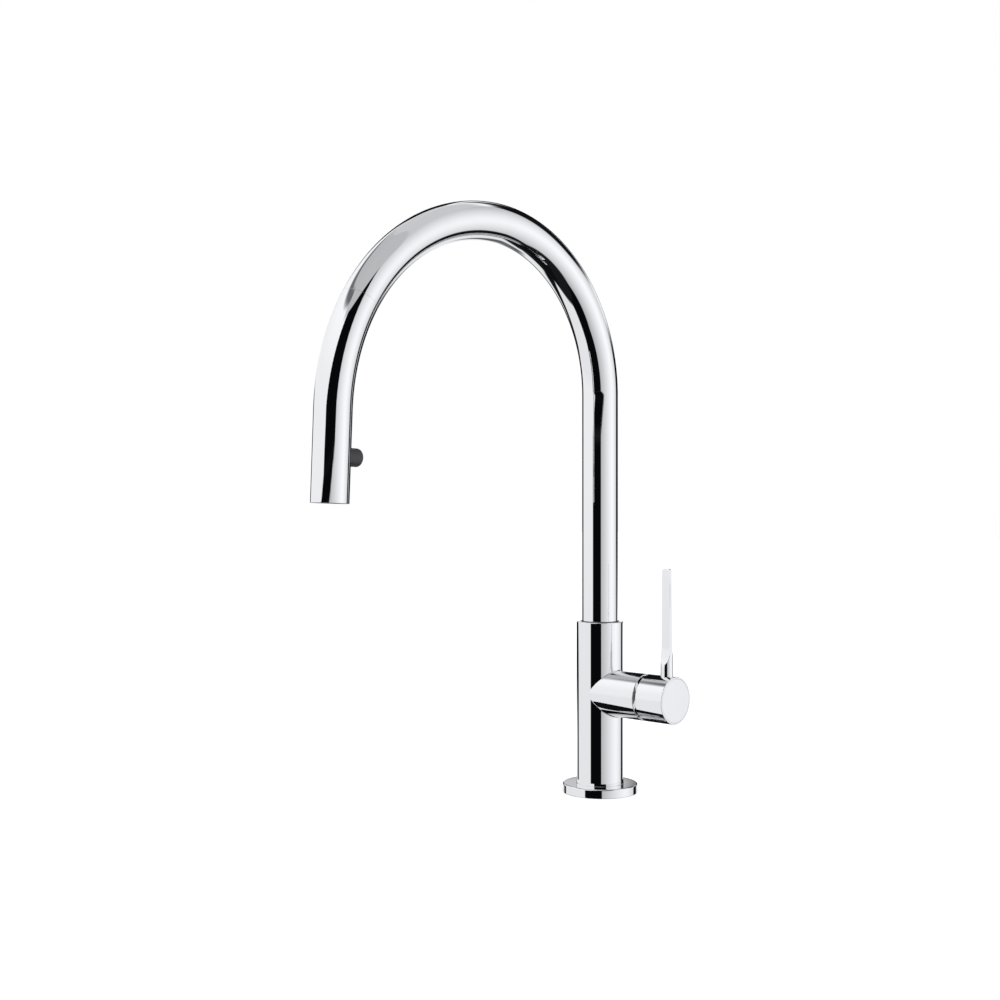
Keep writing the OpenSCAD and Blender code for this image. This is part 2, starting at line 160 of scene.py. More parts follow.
def grid_faces(rows, columns, closed_rows=False, closed_columns=True, first=0):
    """Quads between neighbouring rows of a grid of points."""
    faces = []
    for i in range(rows if closed_rows else rows - 1):
        below, above = first + i * columns, first + (i + 1) % rows * columns
        for j in range(columns if closed_columns else columns - 1):
            k = (j + 1) % columns
            faces.append((below + j, below + k, above + k, above + j))
    return faces


def rounded(points, radii, steps=5):
    """The outline with each corner replaced by an arc. A radius of 0 keeps the corner."""
    out = []
    for i, (p, radius) in enumerate(zip(points, radii)):
        if not radius:
            out.append(tuple(p))
            continue
        here = Vector(p)
        to_last = (Vector(points[i - 1]) - here).normalized()
        to_next = (Vector(points[(i + 1) % len(points)]) - here).normalized()
        half = to_last.angle(to_next) / 2
        centre = here + (to_last + to_next).normalized() * (radius / math.sin(half))
        start = (here + to_last * (radius / math.tan(half)) - centre).normalized()
        end = (here + to_next * (radius / math.tan(half)) - centre).normalized()
        for step in range(steps + 1):
            out.append(tuple(centre + radius * start.slerp(end, step / steps)))
    return out


def lathe(name, outline, place, segments=96, closed=True):
    """Turns an outline of (radius, height) points about the place's Z axis."""
    verts = []
    for radius, height in outline:
        for j in range(segments):
            turn = 2 * math.pi * j / segments
            verts.append(place @ Vector((radius * math.cos(turn), radius * math.sin(turn), height)))
    return piece(name, verts, grid_faces(len(outline), segments, closed_rows=closed))


def swept(name, stations, segments=96):
    """A closed tube along the spout's path, from (path length, radius) stations."""
    verts = []
    for u, radius in stations:
        centre, a = spout_point(u)
        out = Vector((0, math.cos(a), math.sin(a)))
        for j in range(segments):
            turn = 2 * math.pi * j / segments
            verts.append(centre + radius * (math.cos(turn) * Vector((1, 0, 0)) + math.sin(turn) * out))
    return piece(name, verts, grid_faces(len(stations), segments, closed_rows=True))


def steps_between(lo, hi, step):
    count = max(1, math.ceil((hi - lo) / step))
    return [lo + (hi - lo) * i / count for i in range(count + 1)]


def tube_stations(lo, hi, inner, lip, step=1.4):
    """Outside from lo to hi, a rounded lip, and the bore back again."""
    outside = [(u, spout_radius(u)) for u in steps_between(lo + lip, hi - lip, step)]
    r_lo, r_hi = spout_radius(lo), spout_radius(hi)
    turns = [math.pi / 2 * k / 4 for k in range(1, 5)]
    far = [(hi - lip + lip * math.sin(t), r_hi - lip + lip * math.cos(t)) for t in turns]
    near = [(lo + lip - lip * math.sin(t), r_lo - lip + lip * math.cos(t)) for t in reversed(turns)]
    bore = [(u, inner) for u in reversed(steps_between(lo, hi, 3.0))]
    return near + outside + far + bore


def from_cad(name, node, bevel, angle=30.0):
    """A copy of a CAD node's mesh with its edges rounded."""
    mesh = NODES[node].data.copy()
    mesh.name = name
    mesh.materials.clear()
    sharpen(mesh)
    obj = bpy.data.objects.new(name, mesh)
    bpy.context.scene.collection.objects.link(obj)
    edge = obj.modifiers.new("edge", "BEVEL")
    edge.width = bevel * MM
    edge.segments = 3
    edge.limit_method = "ANGLE"
    edge.angle_limit = math.radians(angle)
    edge.harden_normals = False
    normals = obj.modifiers.new("normals", "WEIGHTED_NORMAL")
    normals.keep_sharp = True
    return obj


# ---- Materials ----


class Nodes:
    """Short calls for a material's node tree."""

    def __init__(self, name):
        self.material = bpy.data.materials.new(name)
        self.material.use_nodes = True
        self.tree = self.material.node_tree
        self.shader = self.tree.nodes["Principled BSDF"]
        self.place = self.add("ShaderNodeTexCoord").outputs["Object"]

    def add(self, kind, **values):
        node = self.tree.nodes.new(kind)
        for key, value in values.items():
            if hasattr(node, key):
                setattr(node, key, value)
            else:
                node.inputs[key.replace("_", " ")].default_value = value
        return node

    def link(self, source, target):
        self.tree.links.new(source, target)

    def set(self, **values):
        for key, value in values.items():
            self.shader.inputs[key.replace("_", " ")].default_value = value

    def stretched(self, scale):
        mapping = self.add("ShaderNodeMapping")
        mapping.inputs["Scale"].default_value = scale
        self.link(self.place, mapping.inputs["Vector"])
        return mapping.outputs["Vector"]

    def noise(self, scale, detail=3.0, rough=0.55, vector=None):
        node = self.add("ShaderNodeTexNoise", Scale=scale, Detail=detail, Roughness=rough)
        self.link(vector or self.place, node.inputs["Vector"])
        return node.outputs["Fac"]

    def ramp(self, source, stops):
        node = self.add("ShaderNodeValToRGB")
        while len(node.color_ramp.elements) < len(stops):
            node.color_ramp.elements.new(0.5)
        for element, (at, colour) in zip(node.color_ramp.elements, stops):
            element.position = at
            element.color = (*colour, 1.0)
        self.link(source, node.inputs["Fac"])
        return node.outputs["Color"]

    def spread(self, source, lo, hi, low=0.3, high=0.7):
        node = self.add("ShaderNodeMapRange")
        for key, value in (("From Min", low), ("From Max", high), ("To Min", lo), ("To Max", hi)):
            node.inputs[key].default_value = value
        self.link(source, node.inputs["Value"])
        return node.outputs["Result"]

    def combine(self, operation, a, b):
        node = self.add("ShaderNodeMath", operation=operation)
        for socket, value in zip(node.inputs, (a, b)):
            if isinstance(value, (int, float)):
                socket.default_value = value
            else:
                self.link(value, socket)
        return node.outputs["Value"]

    def bump(self, source, strength, depth):
        node = self.add("ShaderNodeBump")
        node.inputs["Strength"].default_value = strength
        node.inputs["Distance"].default_value = depth
        self.link(source, node.inputs["Height"])
        self.link(node.outputs["Normal"], self.shader.inputs["Normal"])


def chrome():
    """Polished plate: near mirror, with faint wipe marks and a trace of water spotting in its gloss."""
    n = Nodes("chrome")
    n.set(Metallic=1.0)
    wipes = n.noise(90.0, 4.0, 0.6, n.stretched((1.0, 1.0, 0.25)))
    spots = n.noise(420.0, 2.0)
    tint = n.ramp(wipes, [(0.2, (0.872, 0.878, 0.888)), (0.8, (0.892, 0.896, 0.903))])
    n.link(tint, n.shader.inputs["Base Color"])
    gloss = n.combine("ADD", n.spread(wipes, 0.012, 0.03), n.spread(spots, 0.0, 0.018, 0.55, 0.8))
    n.link(gloss, n.shader.inputs["Roughness"])
    n.bump(n.noise(60.0, 2.0), 0.02, 0.00002)
    return n.material


def turned_metal(name, light, dark, rough, rings=2600.0):
    """Machined metal with fine tool marks and slight tarnish."""
    n = Nodes(name)
    n.set(Metallic=1.0)
    tarnish = n.noise(140.0, 5.0, 0.6)
    n.link(n.ramp(tarnish, [(0.3, dark), (0.72, light)]), n.shader.inputs["Base Color"])
    marks = n.noise(rings, 2.0, 0.5, n.stretched((0.2, 0.2, 1.0)))
    n.link(n.spread(marks, rough - 0.07, rough + 0.09), n.shader.inputs["Roughness"])
    n.bump(marks, 0.25, 0.00004)
    return n.material


def moulded(name, colour, rough, grain=1500.0, tint=0.06, depth=0.00004):
    """Moulded plastic or rubber: fine skin grain, slight flow variation in tone and gloss."""
    n = Nodes(name)
    flow = n.noise(70.0, 3.0)
    low = tuple(c * (1 - tint) for c in colour)
    high = tuple(min(1.0, c * (1 + tint)) for c in colour)
    n.link(n.ramp(flow, [(0.3, low), (0.7, high)]), n.shader.inputs["Base Color"])
    skin = n.noise(grain, 2.0)
    n.link(n.spread(skin, rough - 0.06, rough + 0.08), n.shader.inputs["Roughness"])
    n.bump(skin, 0.35, depth)
    return n.material


def ceramic():
    """Lapped alumina: off-white, with sparse grey grain."""
    n = Nodes("ceramic")
    n.set(Specular_IOR_Level=0.6)
    grain = n.noise(900.0, 6.0, 0.7)
    n.link(n.ramp(grain, [(0.25, (0.72, 0.72, 0.7)), (0.42, (0.9, 0.9, 0.88)), (0.7, (0.93, 0.93, 0.92))]),
           n.shader.inputs["Base Color"])
    n.link(n.spread(grain, 0.16, 0.3), n.shader.inputs["Roughness"])
    return n.material


def braid():
    """Woven nylon sleeve: two sets of crossing strands, with painted shade in the gaps between them."""
    n = Nodes("hose_braid")
    heights = []
    for slope in (1.0, -1.0):
        wave = n.add("ShaderNodeTexWave", wave_type="BANDS", bands_direction="DIAGONAL")
        wave.inputs["Scale"].default_value = 260.0
        wave.inputs["Distortion"].default_value = 0.6
        wave.inputs["Detail Scale"].default_value = 3.0
        n.link(n.stretched((slope, 1.0, 1.0)), wave.inputs["Vector"])
        heights.append(wave.outputs["Fac"])
    weave = n.combine("MAXIMUM", *heights)
    # Painted shade: the braid's colour darkens from the strands' crests into the gaps between them, times a
    # random tone variation.
    gap_shade_and_tone = n.combine("MULTIPLY", weave, n.spread(n.noise(200.0, 3.0), 0.75, 1.0))
    shades = [(0.2, (0.05, 0.052, 0.056)), (0.55, (0.2, 0.205, 0.215)), (0.95, (0.42, 0.43, 0.45))]
    n.link(n.ramp(gap_shade_and_tone, shades),
           n.shader.inputs["Base Color"])
    n.link(n.spread(weave, 0.62, 0.4, 0.2, 0.9), n.shader.inputs["Roughness"])
    n.bump(weave, 0.7, 0.00025)
    return n.material


def floor_paint():
    """White sweep that is seen from above only, so that the parts under the worktop show from below."""
    n = Nodes("floor_white")
    n.set(Roughness=0.9, Emission_Strength=0.4)
    n.shader.inputs["Emission Color"].default_value = (1, 1, 1, 1)
    tint = n.ramp(n.noise(3.0), [(0.3, (0.93, 0.93, 0.93)), (0.7, (0.96, 0.96, 0.96))])
    n.link(tint, n.shader.inputs["Base Color"])
    clear = n.add("ShaderNodeBsdfTransparent")
    mix = n.add("ShaderNodeMixShader")
    side = n.add("ShaderNodeNewGeometry")
    n.link(side.outputs["Backfacing"], mix.inputs["Fac"])
    n.link(n.shader.outputs["BSDF"], mix.inputs[1])
    n.link(clear.outputs["BSDF"], mix.inputs[2])
    n.link(mix.outputs["Shader"], n.tree.nodes["Material Output"].inputs["Surface"])
    return n.material


FINISH = {
    "chrome": chrome(),
    "brass": turned_metal("brass", (0.83, 0.64, 0.34), (0.66, 0.47, 0.22), 0.28),
    "steel": turned_metal("steel", (0.72, 0.73, 0.75), (0.55, 0.56, 0.58), 0.26),
    "black_rubber": moulded("black_rubber", (0.022, 0.022, 0.024), 0.62),
    "grey_seal": moulded("grey_seal", (0.08, 0.08, 0.085), 0.6),
    "white_plastic": moulded("white_plastic", (0.82, 0.82, 0.8), 0.42, tint=0.03),
    "blue_plastic": moulded("blue_plastic", (0.1, 0.27, 0.5), 0.4),
    "ceramic": ceramic(),
    "hose_braid": braid(),
    "black_button": moulded("black_button", (0.028, 0.028, 0.03), 0.38, grain=2400.0),
    "nozzle_grey": moulded("nozzle_grey", (0.15, 0.155, 0.165), 0.5),
}


def finish_nodes():
    """Every CAD node gets its slot's material."""
    for name, obj in NODES.items():
        obj.data.materials.clear()
        obj.data.materials.append(FINISH[SLOT_OF[name]])


def dress(obj, body, slot, *nodes):
    """Gives a new piece its material, its body and the CAD nodes that it stands for."""
    obj.data.materials.append(FINISH[slot])
    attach(obj, body)
    if nodes:
        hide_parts(*nodes)
    return obj


# ---- Spout and head ----


def build_spout():
    lo = TUBE_LO - ARCH_Z
    tube = swept("spout_tube_skin", tube_stations(lo, SEAM_U - 0.02, TUBE_IN, 0.05), 144)
    dress(tube, "spout", "chrome", "spout_tube")


def button_hole(shell):
    """Cuts the button's hole through the head's wall."""
    r = BUTTON_R + 0.12
    cutter = lathe("hole_cutter", [(0.001, 6), (r, 6), (r, 20), (0.001, 20)], BUTTON_FRAME, 64)
    cut = shell.modifiers.new("hole", "BOOLEAN")
    cut.operation = "DIFFERENCE"
    cut.solver = "EXACT"
    cut.object = cutter
    shell.modifiers.move(len(shell.modifiers) - 1, 0)
    bpy.context.view_layer.update()
    weighted = shell.modifiers["normals"]
    weighted.show_viewport = False
    done = bpy.data.meshes.new_from_object(shell.evaluated_get(bpy.context.evaluated_depsgraph_get()))
    shell.modifiers.remove(cut)
    shell.data = done
    weighted.show_viewport = True
    bpy.data.objects.remove(cutter)


def build_head():
    shell = swept("head_shell_skin", tube_stations(SEAM_U + 0.02, PATH_END, HEAD_IN, 0.05), 144)
    button_hole(shell)
    dress(shell, "spray_head", "chrome", "head_shell")
    corners = [(0.001, BUTTON_IN), (BUTTON_R, BUTTON_IN), (BUTTON_R, BUTTON_TIP - 0.8),
               (2.6, BUTTON_TIP - 0.15), (0.001, BUTTON_TIP)]
    outline = rounded(corners, [0, 0.2, 2.0, 6.0, 0], steps=10)
    dress(lathe("button_dome", outline, BUTTON_FRAME, 72), "button", "black_button", "spray_button")


def build_nozzles():
    """Grey nozzle ring with raised soft cones, each with its own hole."""
    outer, inner = HEAD_IN - 0.1, 7.9
    plate = rounded([(inner, 0.8), (outer, 0.8), (outer, 3.2), (inner, 3.2)], [0.3, 0.3, 0, 0])
    ring = lathe("nozzle_ring", plate, HEAD_FRAME, 120)
    cone = [(0.34, 0.85), (0.34, 0.05), (0.52, 0.02), (0.62, 0.12), (0.95, 0.85)]
    verts, faces = [], []
    for i in range(20):
        turn = 2 * math.pi * i / 20
        place = HEAD_FRAME @ Matrix.Translation((9 * math.cos(turn), 9 * math.sin(turn), 0))
        first = len(verts)
        for radius, height in cone:
            for j in range(20):
                a = 2 * math.pi * j / 20
                verts.append(place @ Vector((radius * math.cos(a), radius * math.sin(a), height)))
        faces += grid_faces(len(cone), 20, closed_rows=True, first=first)
    cones = piece("nozzle_cones", verts, faces)
    dress(ring, "spray_head", "nozzle_grey", "spray_plate")
    dress(cones, "spray_head", "nozzle_grey")


# ---- Body ----


def tee_points(theta, fillet):
    """Centre of the ball that rolls along the joint of column and branch, and where it touches each."""
    side = (BRANCH_R + fillet) * math.cos(theta)
    up = (BRANCH_R + fillet) * math.sin(theta)
    out = math.sqrt((BODY_R + fillet) ** 2 - side ** 2)
    ball = Vector((out, side, BRANCH_Z + up))
    on_branch = Vector((out, BRANCH_R * math.cos(theta), BRANCH_Z + BRANCH_R * math.sin(theta)))
    share = BODY_R / (BODY_R + fillet)
    on_column = Vector((out * share, side * share, BRANCH_Z + up))
    return ball, on_column, on_branch


def patch_rim(half_turn, half_height, across, upright):
    """Points (turn, height) round the patch of column that the branch grows from, anticlockwise."""
    rim = []
    for i in range(upright):
        rim.append((half_turn, half_height * (2 * i / upright - 1)))
    for i in range(across):
        rim.append((half_turn * (1 - 2 * i / across), half_height))
    for i in range(upright):
        rim.append((-half_turn, half_height * (1 - 2 * i / upright)))
    for i in range(across):
        rim.append((half_turn * (2 * i / across - 1), -half_height))
    return rim


def build_body():
    """Column and branch as one skin, with a rolled fillet where they meet."""
    fillet, half_turn, half_height = 0.8, math.radians(100), 20.0
    across, upright, behind = 80, 32, 64
    rim = patch_rim(half_turn, half_height, across, upright)
    verts, normals, faces = [], [], []

    def add(point, normal):
        verts.append(point)
        normals.append(normal.normalized())

    def on_column(turn, height):
        out = Vector((math.cos(turn), math.sin(turn), 0))
        add(BODY_R * out + Vector((0, 0, height)), out)

    spokes = [tee_points(math.atan2(h, t * BODY_R), fillet) for t, h in rim]
    rows = 14
    for k in range(rows + 1):
        share = k / rows
        for (turn, height), (_, foot, _) in zip(rim, spokes):
            foot_turn = math.atan2(foot.y, foot.x)
            z = BRANCH_Z + height + (foot.z - BRANCH_Z - height) * share
            on_column(turn + (foot_turn - turn) * share, z)
    arc = 5
    for k in range(1, arc + 1):
        for ball, foot, on_branch in spokes:
            turned = (foot - ball).normalized().slerp((on_branch - ball).normalized(), k / arc)
            add(ball + fillet * turned, -turned)
    faces += grid_faces(rows + 1 + arc, len(rim))
    first = len(verts)
    reach_rows = 6
    for k in range(reach_rows + 1):
        for _, _, foot in spokes:
            out = Vector((0, foot.y, foot.z - BRANCH_Z))
            x = foot.x + (BRANCH_END - 0.4 - foot.x) * k / reach_rows
            add(Vector((x, foot.y, foot.z)), out)
    faces += grid_faces(reach_rows + 1, len(rim), first=first)

    def end_ring(outline, point):
        """Carries the skin on over a rim and into a bore. Each outline row is radius, height, normal."""
        start = len(verts)
        count = len(outline)
        turns = point["turns"]
        for radius, height, nr, nh in outline:
            for turn in turns:
                out = point["out"](turn)
                add(point["base"] + radius * out + height * point["axis"], nr * out + nh * point["axis"])
        faces.extend(grid_faces(count, len(turns), first=start))

    quarter = [math.pi / 2 * k / 4 for k in range(5)]

    def rim_outline(outer, top, edge, bore, floor):
        lip = [(outer - edge + edge * math.cos(t), top - edge + edge * math.sin(t), math.cos(t), math.sin(t))
               for t in quarter]
        inner_lip = [(bore + edge - edge * math.sin(t), top - edge + edge * math.cos(t),
                      -math.sin(t), math.cos(t))
                     for t in quarter]
        return lip + inner_lip + [(bore, floor, -1, 0), (bore - 0.001, floor, 0, 1), (0.01, floor, 0, 1)]

    branch_turns = [math.atan2(foot.z - BRANCH_Z, foot.y) for _, _, foot in spokes]
    branch = {"turns": branch_turns, "axis": Vector((1, 0, 0)), "base": Vector((0, 0, BRANCH_Z)),
              "out": lambda t: Vector((0, math.cos(t), math.sin(t)))}
    end_ring(rim_outline(BRANCH_R, BRANCH_END, 0.4, CARTRIDGE_R, SEAT_X), branch)

    front = [half_turn * (2 * i / across - 1) for i in range(across)]
    back = [half_turn + (2 * math.pi - 2 * half_turn) * i / behind for i in range(behind)]
    turns = front + back
    column = {"turns": turns, "axis": Vector((0, 0, 1)), "base": Vector((0, 0, 0)),
              "out": lambda t: Vector((math.cos(t), math.sin(t), 0))}
    above = [(BODY_R, z, 1, 0) for z in steps_between(BRANCH_Z + half_height, BODY_TOP - 0.6, 5.0)]
    end_ring(above + rim_outline(BODY_R, BODY_TOP, 0.6, MOUTH_R, 96.0)[1:], column)
    below = [(BODY_R, z, 1, 0) for z in reversed(steps_between(BODY_LO, BRANCH_Z - half_height, 5.0))]
    foot_rows = [(BODY_R - 0.001, BODY_LO, 0, -1), (SHANK_R, BODY_LO, 0, -1),
                 (SHANK_R - 0.001, BODY_LO, -1, 0),
                 (SHANK_R - 0.001, 50.0, -1, 0), (SHANK_R - 0.002, 50.0, 0, -1), (0.01, 50.0, 0, -1)]
    end_ring(below + foot_rows, column)
    first = len(verts)
    rows_up = [BRANCH_Z - half_height + 2 * half_height * i / upright for i in range(upright + 1)]
    sides = back + [2 * math.pi - half_turn]
    for z in rows_up:
        for turn in sides:
            on_column(turn, z)
    faces += grid_faces(len(rows_up), len(sides), closed_columns=False, first=first)
    return skin("body_skin", verts, normals, faces)


def skin(name, verts, normals, faces):
    """A mesh that shades by the given normals: welded where points and normals both agree."""
    mesh = bpy.data.meshes.new(name)
    keep, index, points, shown = {}, [], [], []
    for v, n in zip(verts, normals):
        key = tuple(round(c, 4) for c in v)
        if key not in keep:
            keep[key] = len(points)
            points.append(v * MM)
        index.append(keep[key])
        shown.append(n)
    kept, loop_normals, seen = [], [], set()
    for face in faces:
        corners = []
        for i in face:
            if not corners or index[i] not in [index[c] for c in corners]:
                corners.append(i)
        key = frozenset(index[c] for c in corners)
        if len(corners) < 3 or key in seen:
            continue
        seen.add(key)
        a, b, c = (points[index[k]] for k in corners[:3])
        wanted = sum((shown[k] for k in corners), Vector())
        if (b - a).cross(c - a).dot(wanted) < 0:
            corners.reverse()
        kept.append([index[k] for k in corners])
        loop_normals += [shown[k] for k in corners]
    mesh.from_pydata(points, [], kept)
    for face in mesh.polygons:
        face.use_smooth = True
    mesh.normals_split_custom_set(loop_normals)
    obj = bpy.data.objects.new(name, mesh)
    bpy.context.scene.collection.objects.link(obj)
    return obj


def build_lever():
    """Round foot, milled run-out and a blade that narrows a little to its rounded tip."""
    count, bottom, edge_lo, flat_lo, flat_hi = 192, BRANCH_Z + BRANCH_R - 1.0, 101.5, 94.0, 105.5
    verts, heights = [], steps_between(bottom, flat_lo, 2.0)[:-1] + steps_between(flat_lo, flat_hi, 0.2)[:-1]
    heights += steps_between(flat_hi, LEVER_TOP - 1.6, 3.0)[:-1]
    heights += steps_between(LEVER_TOP - 1.6, LEVER_TOP, 0.08)
    for z in heights:
        share = min(1.0, max(0.0, (z - flat_hi) / (LEVER_TOP - flat_hi)))
        tip = math.sqrt(max(0.0, 1 - (max(0.0, z - LEVER_TOP + 1.6) / 1.6) ** 2))
        half_w, half_t = 3.85 - 0.45 * share - 1.1 * (1 - tip), 1.1 - 0.45 * (1 - tip)
        limits = []
        for half, start in ((half_w, edge_lo), (half_t, flat_lo)):
            depth, length = LEVER_R - half, flat_hi - start
            arc = (depth ** 2 + length ** 2) / (2 * depth)
            below = min(length, max(0.0, flat_hi - z))
            limits.append(half + arc - math.sqrt(arc ** 2 - below ** 2) + (0.6 if z < start else 0.0))
        for j in range(count):
            turn = 2 * math.pi * (j + 0.5) / count
            wide, thick = abs(math.cos(turn)) / limits[0], abs(math.sin(turn)) / limits[1]
            reach = (LEVER_R ** -40 + wide ** 40 + thick ** 40) ** (-1 / 40)
            verts.append(Vector((LEVER_X + reach * math.cos(turn), reach * math.sin(turn), z)))
    faces = grid_faces(len(heights), count)
    faces.append(tuple(reversed(range(count))))
    faces.append(tuple(range(len(verts) - count, len(verts))))
    return piece("lever", verts, faces)


def build_fittings():
    """Flange, glide ring, cap, end plate and lever."""
    flat = Matrix.Identity(4)
    rim = rounded([(SHANK_R + 0.2, 0), (FLANGE_R, 0), (FLANGE_R, FLANGE_H), (BODY_R + 0.1, FLANGE_H),
                   (BODY_R + 0.1, BODY_LO), (SHANK_R + 0.2, BODY_LO)], [0.2, 0.35, 0.9, 0.25, 0, 0.2])
    dress(lathe("flange", rim, flat, 144), "faucet_body", "chrome", "base_flange")
    ring = rounded([(TUBE_R + 0.05, 113.0), (MOUTH_R - 0.05, 113.0), (MOUTH_R - 0.05, BODY_TOP + 0.35),
                    (TUBE_R + 0.05, BODY_TOP + 0.35)], [0, 0, 0.35, 0.3])
    dress(lathe("glide_ring", ring, flat, 96), "faucet_body", "black_button", "upper_glide_ring")
    bore = BRANCH_R - 2
    cap = rounded([(bore + 0.2, CAP_X), (BRANCH_R, CAP_X), (BRANCH_R, CAP_END), (PLATE_R + 0.05, CAP_END),
                   (PLATE_R + 0.05, CAP_END - 3), (3.05, CAP_END - 3), (3.05, CAP_X + 8), (bore, CAP_X + 8),
                   (bore, CAP_X + 1)],
                  [0.2, 0.4, 0.4, 0.12, 0, 0.2, 0.2, 0.6, 0])
    dress(lathe("cap_skin", cap, BRANCH_FRAME, 128), "handle", "chrome", "handle_cap")
    plate = rounded([(0.001, CAP_END - 3), (PLATE_R, CAP_END - 3),
                     (PLATE_R, CAP_END - 0.02), (0.001, CAP_END - 0.02)],
                    [0, 0.2, 0.16, 0])
    dress(lathe("end_plate", plate, BRANCH_FRAME, 128), "handle", "chrome", "cap_end_plate")
    dress(build_lever(), "handle", "chrome", "lever_rod")


# ---- Under the worktop ----


def thread(name, crest, root, pitch, low, high, bore, segments=72):
    """A tube with a real helical thread outside."""
    outline_rows = math.ceil((high - low) / pitch * 6)
    verts = []
    for i in range(outline_rows + 1):
        z = low + (high - low) * i / outline_rows
        fade = min(1.0, (z - low) / 1.5, (high - z) / 1.5)
        for j in range(segments):
            turn = 2 * math.pi * j / segments
            phase = (z / pitch - j / segments) % 1.0
            rise = min(1.0, max(0.0, 1.6 * (1 - abs(2 * phase - 1)) - 0.3))
            radius = root + (crest - root) * rise * max(0.0, fade)
            verts.append(Vector((radius * math.cos(turn), radius * math.sin(turn), z)))
    for z in (high, low):
        for j in range(segments):
            turn = 2 * math.pi * j / segments
            verts.append(Vector((bore * math.cos(turn), bore * math.sin(turn), z)))
    return piece(name, verts, grid_faces(outline_rows + 3, segments, closed_rows=True), weighted=False)


def build_underside():
    shank = thread("shank_thread", SHANK_R, SHANK_R - 0.75, 1.5, SHANK_LO, SHANK_TOP, SHANK_IN)
    dress(shank, "faucet_body", "brass", "threaded_shank")
    dress(from_cad("lock_nut", "mounting_nut", 0.5), "faucet_body", "brass", "mounting_nut")
    dress(from_cad("clamp_plate", "clamp_washer", 0.3), "faucet_body", "steel", "clamp_washer")
    seal = rounded([(SHANK_R + 0.4, -DECK_H - 3), (25, -DECK_H - 3), (25, -DECK_H), (SHANK_R + 0.4, -DECK_H)],
                   [0.3, 0.9, 0.9, 0.3])
    dress(lathe("deck_seal", seal, Matrix.Identity(4), 96), "faucet_body", "black_rubber", "deck_seal_washer")


# ---- Hose and spring ----


def bar(name, points, radius, segments=32):
    """A round bar through points in the row frame, with flat ends."""
    verts = []
    for i, p in enumerate(points):
        along = (points[min(i + 1, len(points) - 1)] - points[max(i - 1, 0)]).normalized()
        side = along.orthogonal().normalized() if i == 0 else (side - along * side.dot(along)).normalized()
        up = along.cross(side)
        for j in range(segments):
            turn = 2 * math.pi * j / segments
            verts.append(p + radius * (math.cos(turn) * side + math.sin(turn) * up))
    faces = grid_faces(len(points), segments)
    faces.append(tuple(reversed(range(segments))))
    faces.append(tuple(range(len(verts) - segments, len(verts))))
    return piece(name, verts, faces, weighted=False)


def build_hose():
    """Tail in the column, the stretch in the spout, and a short run near the head."""
    lower, upper, turn_lo, turn_hi = SHANK_LO, 99.5, 76.0, 98.0
    tail = []
    for z in steps_between(lower, upper, 1.5):
        share = min(1.0, max(0.0, (z - turn_lo) / (turn_hi - turn_lo)))
        tail.append(Vector((-6 * (1 - share * share * (3 - 2 * share)), 0, z)))
    dress(bar("hose_tail_braid", tail, HOSE_R), "faucet_body", "hose_braid", "hose_tail")
    inside_end = SEAM_U - ARCH_R2 * math.radians(7.2)
    route = [spout_point(u)[0] for u in steps_between(99.6 - ARCH_Z, inside_end - 1.0, 2.0)]
    dress(bar("hose_in_spout", route, HOSE_R), "spout", "hose_braid", "pull_hose")
    start, end = -17.6, -15.2
    run = [SEAM_FRAME @ Vector((0, -1.0 * (1 - (h - start) / (end - start)), h))
           for h in steps_between(start, end, 0.08)]
    run_piece = bar("hose_run", run, HOSE_R - 0.02)
    run_piece.data.materials.append(FINISH["hose_braid"])
    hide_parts("pull_hose")
    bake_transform(run_piece)


def build_spring():
    lo, hi, turns = 4.85, BUTTON_IN - 0.35, 4
    points = []
    for i in range(turns * 28 + 1):
        turn = 2 * math.pi * i / 28
        z = lo + (hi - lo) * i / (turns * 28)
        points.append(BUTTON_FRAME @ Vector((4.3 * math.cos(turn), 4.3 * math.sin(turn), z)))
    spring = bar("return_spring", points, 0.35, 10)
    spring.data.materials.append(FINISH["steel"])
    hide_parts("button_spring")
    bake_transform(spring)


# ---- Studio ----

VIEW_TURN = math.radians(44.3)
TO_CAMERA = Vector((math.sin(VIEW_TURN), -math.cos(VIEW_TURN), 0))
TO_RIGHT = Vector((math.cos(VIEW_TURN), math.sin(VIEW_TURN), 0))


def add_camera():
    data = bpy.data.cameras.new("camera")
    data.lens = 50
    data.sensor_width = 36
    cam = bpy.data.objects.new("camera", data)
    cam.location = (-70.2 * TO_RIGHT + 975 * TO_CAMERA) * MM + Vector((0, 0, 204.4 * MM))
    cam.rotation_euler = (math.pi / 2, 0, VIEW_TURN)
    bpy.context.scene.collection.objects.link(cam)
    bpy.context.scene.camera = cam


